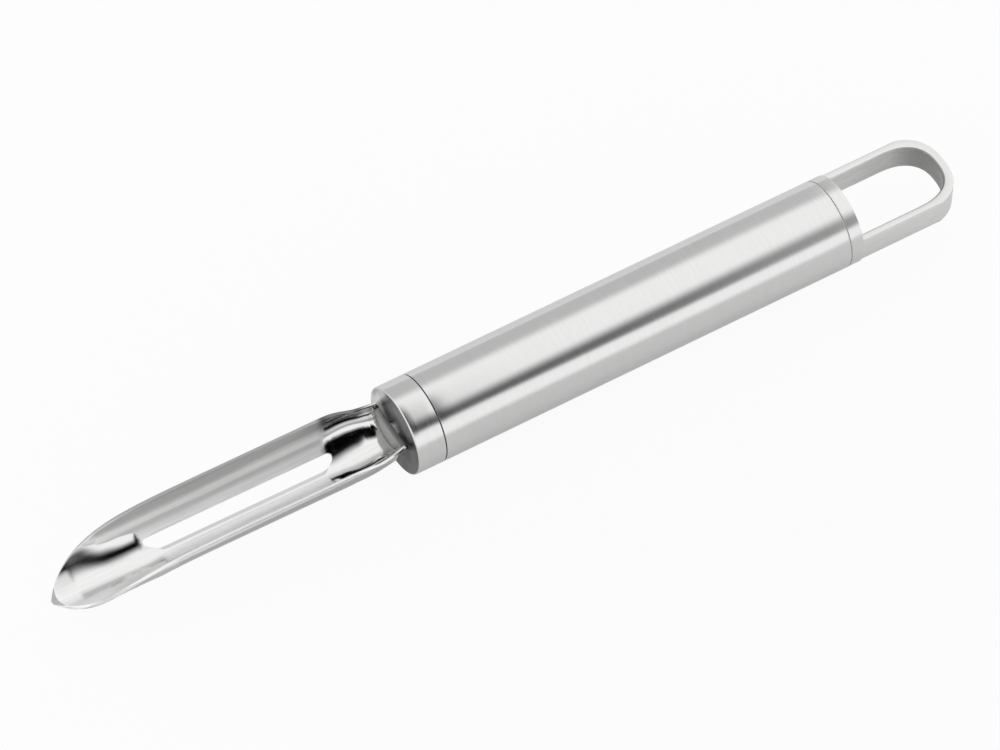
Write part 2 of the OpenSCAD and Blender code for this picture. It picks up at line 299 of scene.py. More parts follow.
class Group(Board):
    """Geometry Nodes group with named inputs, whose result is made real and gets a finish."""

    def __init__(self, name: str, **kinds: str) -> None:
        """Makes the group and its inputs.

        Args:
            name: name of the group.
            **kinds: kind of each input; Axis Height, for one, is given as axis_height.
        """
        super().__init__(bpy.data.node_groups.new(name, "GeometryNodeTree"))
        face = self.tree.interface
        face.new_socket("Geometry", in_out="OUTPUT", socket_type="NodeSocketGeometry")
        kinds["finish"] = "Material"
        for key, kind in kinds.items():
            face.new_socket(self.title(key), in_out="INPUT", socket_type="NodeSocket" + kind)
        sockets = self.add("NodeGroupInput").outputs
        self.given = {key: Value(self, sockets[self.title(key)]) for key in kinds}

    @staticmethod
    def title(key: str) -> str:
        """Name of the input that a key stands for."""
        return key.replace("_", " ").title()

    def close(self, geometry: Value) -> None:
        """Ends the group: makes the geometry real and gives it the finish.

        Args:
            geometry: what the group has built.
        """
        real = self.value("GeometryNodeRealizeInstances", {0: geometry})
        dressed = self.value("GeometryNodeSetMaterial", {"Geometry": real, "Material": self.given["finish"]})
        self.add("NodeGroupOutput", {0: dressed})

    def bake(self, name: str, **values: object) -> Object:
        """Runs the group and keeps its result as a plain mesh.

        Args:
            name: name of the piece.
            **values: the group's inputs, by the keys that it was made with.

        Returns:
            The linked object, without a modifier.
        """
        holder = link_object(name, bpy.data.meshes.new(name))
        modifier = holder.modifiers.new("build", "NODES")
        modifier.node_group = self.tree
        named = {self.title(key): value for key, value in values.items()}
        for item in self.tree.interface.items_tree:
            if item.in_out == "INPUT":
                modifier[item.identifier] = named[item.name]
        graph = bpy.context.evaluated_depsgraph_get()
        mesh = bpy.data.meshes.new_from_object(holder.evaluated_get(graph))
        holder.modifiers.remove(modifier)
        holder.data = mesh
        mesh.name = name
        mesh.materials.clear()
        mesh.materials.append(values["finish"])
        mesh.polygons.foreach_set("material_index", [0] * len(mesh.polygons))
        finish_mesh(mesh)
        return holder


def link_object(name: str, data: ID) -> Object:
    """Makes an object of some data and links it to the scene.

    Args:
        name: name of the object.
        data: its mesh or its camera's data.

    Returns:
        The linked object.
    """
    obj = bpy.data.objects.new(name, data)
    bpy.context.scene.collection.objects.link(obj)
    return obj


def finish_mesh(mesh: Mesh, crease_deg: float = 30.0) -> None:
    """Merges doubles, drops loose points, turns all faces outwards and shades smooth up to a crease.

    Args:
        mesh: closed mesh to finish.
        crease_deg: angle between faces from which their edge stays sharp.
    """
    bm = bmesh.new()
    bm.from_mesh(mesh)
    bmesh.ops.remove_doubles(bm, verts=bm.verts, dist=MERGE)
    bmesh.ops.dissolve_degenerate(bm, edges=bm.edges, dist=MERGE)
    bmesh.ops.recalc_face_normals(bm, faces=bm.faces)
    bmesh.ops.delete(bm, geom=[v for v in bm.verts if not v.link_faces], context="VERTS")
    bm.to_mesh(mesh)
    bm.free()
    mesh.shade_smooth()
    mesh.set_sharp_from_angle(angle=math.radians(crease_deg))


def make_object(name: str, verts: Sequence[Sequence[float]], faces: Sequence[Sequence[int]],
                material: Material) -> Object:
    """Makes a mesh object of one material.

    Args:
        name: name of the object.
        verts: its points.
        faces: its faces, as point numbers.
        material: its finish.

    Returns:
        The linked object, with its mesh as given.
    """
    mesh = bpy.data.meshes.new(name)
    mesh.from_pydata([tuple(v) for v in verts], [], [tuple(f) for f in faces])
    mesh.materials.append(material)
    return link_object(name, mesh)


def place_piece(obj: Object, body: Body, slot: Slot, *nodes: str) -> None:
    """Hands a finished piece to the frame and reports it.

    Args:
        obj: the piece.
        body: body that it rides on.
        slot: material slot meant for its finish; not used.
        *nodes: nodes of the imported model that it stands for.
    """
    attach(obj, body.value)
    if nodes:
        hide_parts(*nodes)
    LOG.info("%s: %d faces on %s", obj.name, len(obj.data.polygons), body.value)


@dataclass(frozen=True)
class Steel:
    """Stainless steel with brush lines; stops are places along X with the share of its tone there."""

    name: str
    colour: Triple = (0.77, 0.77, 0.765)
    rough: float = 0.2
    spread: float = 0.35
    grain: Grain = Grain.ROUND_AXIS
    axis_z: float = 9 * MM
    line_pitch: float = 0.09 * MM
    line_len: float = 5 * MM
    line_depth: float = 0.001 * MM
    line_relief: float = 0.15
    line_rough: float = 0.015
    fine_share: float = 0.7
    coarse_ratio: float = 4
    cloud_scale: Triple = (60.0, 110.0, 110.0)
    cloud_rough: float = 0.01
    contrast: float = 0.025
    stops: tuple[Pair, ...] = ()

    def material(self) -> Material:
        """Builds the node material: brush lines in tone, roughness and relief.

        Returns:
            The material.
        """
        b = Finish(self.name, self.axis_z)
        round_axis = self.grain is Grain.ROUND_AXIS
        fine, long = 1 / self.line_pitch, 1 / self.line_len
        scale = (fine, long, long) if round_axis else (long, fine, fine)
        lines = b.noise(scale, detail=2.0)
        coarse = b.noise([s / self.coarse_ratio for s in scale], detail=1.0)
        clouds = b.noise(self.cloud_scale, detail=2.0)
        tone = lines * self.fine_share + coarse * (1 - self.fine_share)
        base = b.blend(tone.vary(0.0, 1.0), rgba(self.colour, 1 - self.contrast),
                       rgba(self.colour, 1 + self.contrast))
        # Stops set the tone along X; the loop's inside uses them for painted shade.
        if self.stops:
            base = b.toned(base, b.spot[0].ramp(self.stops))
        uneven = tone.swing(self.line_rough) + clouds.swing(self.cloud_rough)
        return b.shaded({
            "Base Color": base, "Metallic": 1.0, "Roughness": uneven + self.rough,
            "Anisotropic": self.spread, "Anisotropic Rotation": QUARTER_TURN if round_axis else 0.0,
            "Normal": b.relief(tone, self.line_relief, self.line_depth), "Tangent": b.around,
        })


@dataclass(frozen=True)
class FacedSteel:
    """Faced end of the collar: dull, darkened by painted shade, and pale with a painted reflection where it
    runs out beside the blade's neck.
    """

    name: str
    axis_z: float
    # Painted shade: dark is the face's tone where it lies in shade; painted reflection: pale is its tone
    # beside the neck.
    dark: Triple = (0.2, 0.2, 0.2)
    pale: Triple = (0.66, 0.66, 0.655)
    edge_at: float = 6.4 * MM
    reflection_edge_run: float = 0.5 * MM
    reflection_edge_lean: Pair = (0.9, 0.44)
    ring_scale: float = 5000.0
    ring_tones: Pair = (0.9, 1.1)
    ring_rough: Pair = (0.3, 0.38)
    cloud_scale: float = 260.0
    cloud_tones: Pair = (0.75, 1.3)
    cloud_margin: float = 0.35

    def material(self) -> Material:
        """Builds the node material, with its painted shade and painted reflection following the place on the
        face.

        Returns:
            The material.
        """
        b = Finish(self.name, self.axis_z)
        _, y, height = b.spot
        aside = y * self.reflection_edge_lean[0] + height * self.reflection_edge_lean[1]
        # Painted reflection, pale beside the neck, over the painted shade of the rest of the face.
        pale = aside.span(self.edge_at - self.reflection_edge_run, self.edge_at + self.reflection_edge_run)
        reach = b.value("ShaderNodeCombineXYZ", {0: b.math("SQRT", y * y + height * height)})
        rings = b.noise((self.ring_scale,) * 3, detail=2.0, place=reach)
        clouds = b.noise((self.cloud_scale,) * 3, detail=1.0)
        grey = rings.vary(*self.ring_tones) * clouds.vary(*self.cloud_tones, self.cloud_margin)
        base = b.toned(b.blend(pale, rgba(self.dark), rgba(self.pale)), grey)
        return b.shaded({"Base Color": base, "Metallic": 1.0, "Roughness": rings.vary(*self.ring_rough)})


@dataclass(frozen=True)
class PolishedSteel:
    """Mirror-polished sheet with satin and worn zones, a ground point, painted shade on the near side's
    outer face and in bands across the far wall, and a painted dark reflection band under the far rim of
    the neck.

    Zones begin and end over pairs of places: along X from the tip or from the slot's ends, where
    back is its end beside the spoon, across the blade along Y, and in height above the axis.
    """

    name: str
    tip_x: float
    slot_back: float
    slot_front: float
    axis_z: float
    point_z: float
    point_slope: float
    colour: Triple = (0.8, 0.8, 0.795)
    satin_colour: Triple = (1.0, 1.0, 0.995)
    polish: float = 0.08
    satin: float = 0.52
    fade: float = 0.8 * MM
    cloud_scale: float = 220.0
    wander: float = 0.7 * MM
    far_y: Pair = (1.2 * MM, 2.2 * MM)
    far_back_heights: Pair = (-0.7 * MM, 0.5 * MM)
    far_back_places: Pair = (-0.4 * MM, -8.7 * MM)
    far_front_heights: Pair = (0.0, 4 * MM)
    far_front_places: Pair = (-0.8 * MM, 1.5 * MM)
    near_share: float = 0.8
    near_start: Pair = (1.3 * MM, 2.7 * MM)
    near_end: Pair = (-3.2 * MM, -2.6 * MM)
    near_slot_y: Pair = (-0.95 * MM, -1.15 * MM)
    near_side_y: Pair = (-3.5 * MM, -3.2 * MM)
    spoon_end: float = 1 * MM
    spoon_edge_y: Pair = (-3.4 * MM, -1.9 * MM)
    spoon_fade: Pair = (0.5 * MM, -0.7 * MM)
    rim_heights: Pair = (3.2 * MM, 3.7 * MM)
    rim_y: Pair = (-5 * MM, -6 * MM)
    tip_end: Pair = (6.2 * MM, 4.8 * MM)
    tip_y: Pair = (4.6 * MM, 3.2 * MM)
    streak_scale: Triple = (60.0, 1500.0, 1500.0)
    streak_rough: Pair = (-0.015, 0.02)
    streak_tones: Pair = (0.96, 1.03)
    streak_relief: float = 0.1
    streak_depth: float = 0.003 * MM
    band_scale: Triple = (22.0, 420.0, 420.0)
    painted_shade_wander: float = 0.25 * MM
    band_tones: Pair = (-0.06, 0.05)
    across_lean: Pair = (0.857, 0.515)
    # Painted shade: bands across the far wall, darker where its reflections fall dark, as tone shares by the
    # place across it.
    painted_shade_y: Pair = (0.0, 1 * MM)
    painted_shade_bands: tuple[Pair, ...] = ((2.0, 1.0), (3.1, 1.0), (3.5, 0.88), (4.0, 0.7), (4.5, 0.7), (5.0, 0.93),
                                     (5.5, 0.96), (5.9, 0.85), (6.4, 0.66), (7.4, 0.64), (8.0, 0.5))
    # Painted shade: the near side's outer face is darker beyond this place across.
    painted_outer_shade_across: Pair = (-4.5 * MM, -4.9 * MM)
    painted_outer_shade: float = 0.7
    point_edge: Pair = (-0.04 * MM, -0.01 * MM)
    point_tone: float = 0.5
    # Painted dark reflection band under the far rim of the neck: its tone, ragged edge and extent.
    painted_reflection_tone: float = 0.25
    painted_reflection_scale: Triple = (220.0, 500.0, 900.0)
    painted_reflection_wander: float = 0.8 * MM
    painted_reflection_heights: Pair = (0.9 * MM, 2 * MM)
    painted_reflection_y: Pair = (3.5 * MM, 4.5 * MM)
    painted_reflection_start: Pair = (-1.2 * MM, 0.6 * MM)
    painted_reflection_end: Pair = (7.5 * MM, 10.5 * MM)

    def satin_share(self, b: Finish) -> Value:
        """Adds the share of satin, in the zone beyond the slot and in the worn ones.

        Args:
            b: board of the material.

        Returns:
            A value from 0 to 1.
        """
        x, y, height = b.spot
        wander = b.noise((self.cloud_scale,) * 3, detail=3.0).swing(self.wander)
        from_tip, from_back, from_front = x - self.tip_x, x - self.slot_back, x - self.slot_front
        back = height.span(*self.far_back_heights, *self.far_back_places)
        front = height.span(*self.far_front_heights, *self.far_front_places)
        begun = (from_back + wander - back).span(-self.fade, self.fade)
        ended = (from_front + wander - front).span(-self.fade, self.fade)
        far = (begun - ended) * y.span(*self.far_y)
        started = from_back.span(*self.near_start)
        inside = y.span(*self.near_slot_y) * y.span(*self.near_side_y)
        near = (started - from_front.span(*self.near_end)) * inside
        spoon_edge = from_back.span(self.tip_x - self.slot_back, self.spoon_end, *self.spoon_edge_y)
        spoon = (y + wander - spoon_edge).span(*self.spoon_fade) * (1.0 - started)
        rim = height.span(*self.rim_heights) * y.span(*self.rim_y)
        tip = from_tip.span(*self.tip_end) * y.span(*self.tip_y)
        return far.most(near.most(spoon).most(rim.most(tip)) * self.near_share)

    def painted_reflection_share(self, b: Finish) -> Value:
        """Adds the share of the painted dark reflection band under the far rim of the neck.

        Args:
            b: board of the material.

        Returns:
            A value from 0 to 1.
        """
        x, y, height = b.spot
        ragged = height + b.noise(self.painted_reflection_scale, detail=2.0).swing(self.painted_reflection_wander)
        from_front = x - self.slot_front
        along = from_front.span(*self.painted_reflection_start) - from_front.span(*self.painted_reflection_end)
        return ragged.span(*self.painted_reflection_heights) * y.span(*self.painted_reflection_y) * along

    def material(self) -> Material:
        """Builds the node material, with its roughness and tone following the satin share, and its tone
        darkened by painted shade and a painted dark reflection.

        Returns:
            The material.
        """
        b = Finish(self.name, self.axis_z)
        x, y, height = b.spot
        satin = self.satin_share(b)
        streaks = b.noise(self.streak_scale, detail=3.0)
        bands = b.noise(self.band_scale, detail=2.0)
        across = y * self.across_lean[0] + height * self.across_lean[1]
        stops = [(place * MM, tone) for place, tone in self.painted_shade_bands]
        # Painted shade bands across the far wall, in its satin zone.
        painted_shade_grades = (across + bands.swing(self.painted_shade_wander)).ramp(stops)
        painted_shade = satin * y.span(*self.painted_shade_y) * (painted_shade_grades - 1.0) + 1.0
        grey = streaks.vary(*self.streak_tones) + satin * bands.vary(*self.band_tones)
        # Painted shade on the near side's outer face.
        outer = across.span(*self.painted_outer_shade_across, 1.0, self.painted_outer_shade)
        over_point = height - (x - self.tip_x) * self.point_slope - self.point_z
        point = over_point.span(*self.point_edge, 1.0, self.point_tone)
        # Painted dark reflection band under the far rim of the neck.
        painted_reflection = 1.0 - self.painted_reflection_share(b) * (1 - self.painted_reflection_tone)
        base = b.toned(b.blend(satin, rgba(self.colour), rgba(self.satin_colour)),
                       outer * painted_reflection * point * (painted_shade * grey))
        return b.shaded({
            "Base Color": base, "Metallic": 1.0,
            "Roughness": satin * (self.satin - self.polish) + self.polish + streaks.vary(*self.streak_rough),
            "Normal": b.relief(streaks, self.streak_relief, self.streak_depth),
        })


@dataclass(frozen=True)
class PlainFinish:
    """Finish of a small piece, with a fine mottle."""

    name: str
    colour: Triple
    rough: float
    metallic: float = 1.0
    mottle_scale: float = 1800.0
    tones: Pair = (0.8, 1.15)
    rough_swing: float = 0.06
    rough_margin: float = 0.2

    def material(self) -> Material:
        """Builds the node material.

        Returns:
            The material.
        """
        b = Finish(self.name)
        mottle = b.noise((self.mottle_scale,) * 3, detail=3.0)
        dark, pale = (rgba(self.colour, tone) for tone in self.tones)
        rough = mottle.vary(self.rough - self.rough_swing, self.rough + self.rough_swing, self.rough_margin)
        return b.shaded({"Base Color": b.blend(mottle, dark, pale), "Metallic": self.metallic,
                         "Roughness": rough})


@dataclass(frozen=True)
class Section:
    """Section of the blade's underside: flat bottom, round sides and straight ends up to the rim."""

    flat: float
    r: float
    angle: float
    wall: float
    z0: float

    def girth(self) -> float:
        """Length round the underside from the middle line to the rim."""
        return self.flat + self.r * self.angle + self.wall

    def point(self, s: float, inset: float) -> Pair:
        """Point of one face of the sheet.

        Args:
            s: distance round the underside from the middle line, positive on the +Y side.
            inset: depth of the face inside the underside.

        Returns:
            The point as (y, z), with z above the axis.
        """
        turn = min(max((abs(s) - self.flat) / self.r, 0.0), self.angle)
        straight = max(0.0, abs(s) - self.flat - self.r * self.angle)
        y = min(abs(s), self.flat) + (self.r - inset) * math.sin(turn) + straight * math.cos(turn)
        z = self.z0 + self.r - (self.r - inset) * math.cos(turn) + straight * math.sin(turn)
        return (math.copysign(y, s), z)


@dataclass
class Blade:
    """Stamped blade: a half-round trough with its slot up one side, a spoon tip and a rounded neck."""

    axis_z: float
    width: float = 14.9 * MM
    sheet: float = 0.75 * MM
    rim_neck_z: float = 3.8 * MM
    rim_tip_z: float = 4.4 * MM
    rim_dip: float = 0.5 * MM
    trough_neck_drop: float = 3.5 * MM
    trough_tip_drop: float = 2.8 * MM
    neck_w: float = 12 * MM
    neck_drop: float = 3 * MM
    neck_rim_z: float = 2.9 * MM
    neck_ramp_len: float = 12.5 * MM
    shoulder_len: float = 7 * MM
    rim_dip_share: float = 0.55
    rim_full_share: float = 1.4
    ramp_share: float = 0.8
    tip_drop: float = 2.5 * MM
    tip_round_len: float = 22 * MM
    tip_round_share: float = 4.6
    tip_rise_len: float = 12.2 * MM
    tip_grind_len: float = 1.5 * MM
    rise_share: float = 1.8
    spoon_drop: float = 0.2 * MM
    spoon_len: float = 19.6 * MM
    slot_w: float = 2.95 * MM
    slot_side: float = 2.35 * MM
    slot_len: float = 40.5 * MM
    slot_start: float = 11.05 * MM
    slot_run: float = 3.4 * MM
    least_open: float = 0.02 * MM
    seam_share: float = 0.72
    grind_w: float = 1.2 * MM
    far_bevel_share: float = 0.3
    wall_deg: float = 88.0
    even_len: float = 1.8 * MM
    least_depth_share: float = 0.12
    arc_share: float = 1.06
    radius_share: float = 0.92
    edge_r: float = 0.12 * MM
    edge_share_of_half: float = 0.1
    point_t: float = 0.15 * MM
    point_share: float = 0.4
    spoon_places: int = 90
    spoon_crowding: float = 1.5
    slot_end_places: int = 24
    slot_places: int = 30
    neck_places: int = 70

    def __post_init__(self) -> None:
        """Works out the places that several of the blade's forms share."""
        self.tip_x, self.neck_end = (corner.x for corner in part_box("blade"))
        self.half_w = self.width / 2
        self.keel_len = self.spoon_len / 3
        self.point_len = self.sheet * self.point_share
        self.slot_front = self.neck_end - self.slot_start
        self.slot_back = self.slot_front - self.slot_len
        self.seam = self.slot_side + self.slot_w * (self.seam_share - 0.5)
        self.far_run = self.slot_w / 3
        self.rim_dip_at = self.shoulder_len * self.rim_dip_share
        self.rim_full_at = self.shoulder_len * self.rim_full_share
        self.ramp_at = self.shoulder_len * self.ramp_share
        self.point_slope = self.sheet / self.tip_grind_len

    def from_tip(self, x: float) -> float:
        """Distance behind the sharp point."""
        return x - self.tip_x + self.point_len

    def from_neck(self, x: float) -> float:
        """Distance in front of the neck's end."""
        return self.neck_end - x

    def width_at(self, x: float) -> float:
        """Works out half of the blade's width.

        Args:
            x: place along the blade.

        Returns:
            The distance from the middle line to the rim.
        """
        tip = 1 - max(0.0, 1 - self.from_tip(x) / self.tip_round_len) ** self.tip_round_share
        shoulder = min(1.0, self.from_neck(x) / self.shoulder_len)
        return tip * mix(self.neck_w / 2, self.half_w, shoulder)

    def along_slot(self, x: float) -> float:
        """Share of the way along the slot, from its neck's end."""
        return (self.slot_front - x) / self.slot_len

    def rim_at(self, x: float) -> float:
        """Works out the rim's height.

        Args:
            x: place along the blade.

        Returns:
            The height above the axis.
        """
        rise = 1 - math.exp(-((self.from_tip(x) / self.tip_rise_len) ** self.rise_share))
        climb = ease((self.from_neck(x) - self.rim_dip_at) / (self.rim_full_at - self.rim_dip_at))
        dip = self.rim_dip * ease(self.from_neck(x) / self.rim_dip_at) * (1 - climb)
        full = mix(self.rim_neck_z, self.rim_tip_z, self.along_slot(x))
        return mix(-self.tip_drop, mix(self.neck_rim_z, full, climb) - dip, rise)

    def keel_at(self, x: float) -> float:
        """Works out the underside on the middle line.

        Args:
            x: place along the blade.

        Returns:
            The height above the axis, which is below zero.
        """
        neck_share = 1 - ease((self.from_neck(x) - self.ramp_at) / (self.neck_ramp_len - self.ramp_at))
        spoon_share = 1 - ease((self.from_tip(x) - self.keel_len) / (self.spoon_len - self.keel_len))
        spoon = self.tip_drop + self.spoon_drop * ease(self.from_tip(x) / self.keel_len)
        trough = mix(self.trough_neck_drop, self.trough_tip_drop, self.along_slot(x))
        least = self.rim_at(x) - self.width_at(x) * self.least_depth_share
        return min(-mix(mix(trough, spoon, spoon_share), self.neck_drop, neck_share), least)

    def evened(self, form: Callable[[float], float], x: float) -> float:
        """Mean of a form at six places round x beside the neck, which takes out its kinks there."""
        run = min(self.even_len * ease((x - self.slot_front) / self.even_len + 1), self.from_neck(x))
        return sum(form(x + run * fifth / 5) for fifth in (-5, -3, -1, 1, 3, 5)) / 6

    def wall_angle_at(self, x: float) -> float:
        """Angle that the side of the section turns through at x."""
        h = self.rim_at(x) - self.keel_at(x)
        return min(math.radians(self.wall_deg), 2 * math.atan2(h, self.width_at(x)) * self.arc_share)

    def section_at(self, x: float) -> Section:
        """Works out the section of the underside.

        Args:
            x: place along the blade.

        Returns:
            The section.
        """
        w, z0 = self.evened(self.width_at, x), self.evened(self.keel_at, x)
        h = self.evened(self.rim_at, x) - z0
        angle = self.evened(self.wall_angle_at, x)
        limit = min(h / (1 - math.cos(angle)), (w - h / math.tan(angle)) / math.tan(angle / 2))
        r = limit * self.radius_share
        wall = (h - r * (1 - math.cos(angle))) / math.sin(angle)
        return Section(w - r * math.sin(angle) - wall * math.cos(angle), r, angle, wall, z0)

    def facet_at(self, x: float) -> float:
        """Height of the facet ground on the point."""
        return self.point_t - self.tip_drop + (x - self.tip_x) * self.point_slope

    def into_slot(self, x: float) -> float:
        """Distance from x to the nearer end of the slot."""
        return min(self.slot_front - x, x - self.slot_back)

    def open_at(self, x: float) -> bool:
        """Whether the slot is open at x."""
        return self.into_slot(x) >= self.least_open

    def edge_share(self, x: float, run: float) -> float:
        """Share of a slot edge's full distance from the seam, when it runs out over the length run."""
        left = max(0.0, 1 - self.into_slot(x) / run)
        return math.sqrt(max(0.0, 1 - left * left)) if self.open_at(x) else 0.0

    def edge_at(self, x: float, side: int) -> float:
        """Slot's edge at x, round the underside from the middle line.

        Args:
            x: place along the blade.
            side: 1 for the strip that carries the +Y rim, -1 for the other one.

        Returns:
            The distance, on the seam where the slot is closed.
        """
        seam = self.seam * self.width_at(x) / self.half_w
        if side > 0:
            return seam + self.slot_w * (1 - self.seam_share) * self.edge_share(x, self.far_run)
        return seam - self.slot_w * self.seam_share * self.edge_share(x, self.slot_run)

    def bevel_at(self, x: float) -> float:
        """Width of the ground bevel beside the slot at x."""
        return self.grind_w * ease((self.into_slot(x) - self.far_run) / (self.slot_run - self.far_run))

    def ring(self, x: float, side: int) -> list[Pair]:
        """Draws the closed ring round one strip: outer face, rounded rim, inner face and ground bevel.

        Args:
            x: place along the blade.
            side: 1 for the strip that carries the +Y rim, -1 for the other one.

        Returns:
            Points as (y, z), with z above the axis.
        """
        strip_steps, rim_steps = 60, 7
        section = self.section_at(x)
        trim = min(self.edge_r, self.width_at(x) * self.edge_share_of_half)
        edge, end = self.edge_at(x, side), side * (section.girth() - trim)
        ground = edge + side * self.bevel_at(x) * (self.far_bevel_share if side > 0 else 1.0)
        outer = [section.point(mix(edge, end, i / strip_steps), 0.0) for i in range(strip_steps + 1)]
        inner = [section.point(mix(ground, end, i / strip_steps), self.sheet) for i in range(strip_steps + 1)]
        rim = []
        for i in range(1, rim_steps):
            t = i / rim_steps
            out = end + side * trim * math.sqrt(max(0.0, 1 - (2 * t - 1) ** 2))
            rim.append(section.point(out, self.sheet * t))
        bevel = [(mix(inner[0][0], outer[0][0], t), mix(inner[0][1], outer[0][1], t)) for t in (0.33, 0.67)]
        top = self.facet_at(x)
        return [(y, min(z, top)) for y, z in outer + rim + inner[::-1] + bevel]

    def places(self) -> list[float]:
        """Lays out the sections, closer together where the form turns fast.

        Returns:
            Their places along X, from the tip to the neck's end.
        """
        tip_len = self.slot_back - self.tip_x
        n, slot_n, neck_n = self.slot_end_places, self.slot_places, self.neck_places
        ends = [self.slot_run * (1 - math.cos(math.radians(90 * i / n))) for i in range(n + 1)]
        low, high = self.slot_back + ends[-1], self.slot_front - ends[-1]
        out = [self.tip_x + tip_len * (i / self.spoon_places) ** self.spoon_crowding
               for i in range(self.spoon_places)]
        out += [self.slot_back + d for d in ends]
        out += [mix(low, high, i / slot_n) for i in range(1, slot_n)]
        out += [self.slot_front - d for d in reversed(ends)]
        out += [self.slot_front + self.slot_start * i / neck_n for i in range(1, neck_n + 1)]
        return out

    def build(self, material: Material) -> Object:
        """Lofts both strips of the sheet, which meet on a seam beyond the slot's ends.

        Args:
            material: finish of the sheet.

        Returns:
            The blade's object.
        """
        places = self.places()
        verts, faces = [], []
        for side in (1, -1):
            base, n = len(verts), 0
            for x in places:
                ring = self.ring(x, side)
                n = len(ring)
                verts += [(x, y, self.axis_z + z) for y, z in ring]
            for k in range(len(places) - 1):
                slotted = self.open_at(places[k]) or self.open_at(places[k + 1])
                for j in range(n if slotted else n - 3):
                    a, c = base + k * n + j, base + (k + 1) * n + j
                    b, d = base + k * n + (j + 1) % n, base + (k + 1) * n + (j + 1) % n
                    faces.append((a, b, d, c))
            for k in (0, len(places) - 1):
                for j in range((n - 2) // 2 - 1):
                    a, back = base + k * n + j, base + k * n + n - 3 - j
                    faces.append((a, a + 1, back - 1, back))
        blade = make_object("blade_sheet", verts, faces, material)
        finish_mesh(blade.data)
        return blade

    def dress(self) -> None:
        """Builds the blade in its finish and hands it over."""
        steel = PolishedSteel("polished_blade", self.tip_x, self.slot_back, self.slot_front, self.axis_z,
                              self.point_t - self.tip_drop, self.point_slope)
        place_piece(self.build(steel.material()), Body.BLADE, Slot.POLISHED, "blade")


class BeadTree(Group):
    """Geometry Nodes group that lays a row of weld beads along an arc round the handle's axis."""

    def __init__(self, least_size: float = 0.7, most_size: float = 1.25) -> None:
        """Builds the group.

        Args:
            least_size: size of the smallest bead, as a share of the bead radius.
            most_size: size of the largest one, as a share of it.
        """
        super().__init__("bead_row", count="Int", row_x="Float", centre_height="Float",
                         arc_radius="Float", arc_start="Float", arc_sweep="Float", bead_radius="Float",
                         wander="Float", seed="Int")
        given = self.given
        row = self.value("GeometryNodeMeshLine", {"Count": given["count"]})
        index = self.value("GeometryNodeInputIndex")
        turn = given["arc_start"] + given["arc_sweep"] * (index / (given["count"] - 1.0).most(1.0))
        side = given["arc_radius"] * self.math("COSINE", turn)
        high = given["arc_radius"] * self.math("SINE", turn) + given["centre_height"]
        stray = self.value("FunctionNodeRandomValue", {0: (-1.0,) * 3, 1: (1.0,) * 3, "Seed": given["seed"]},
                           data_type="FLOAT_VECTOR")
        off = self.value("ShaderNodeVectorMath", {0: stray, "Scale": given["wander"]}, operation="SCALE")
        place = self.value("ShaderNodeCombineXYZ", {0: given["row_x"], 1: side, 2: high})
        laid = self.value("GeometryNodeSetPosition", {"Geometry": row, "Position": place, "Offset": off})
        ball = self.value("GeometryNodeMeshIcoSphere", {"Radius": given["bead_radius"], "Subdivisions": 3})
        size = self.value("FunctionNodeRandomValue", {2: least_size, 3: most_size, "Seed": given["seed"]}, 1,
                          data_type="FLOAT")
        row_of_balls = {"Points": laid, "Instance": ball, "Scale": size}
        self.close(self.value("GeometryNodeInstanceOnPoints", row_of_balls))


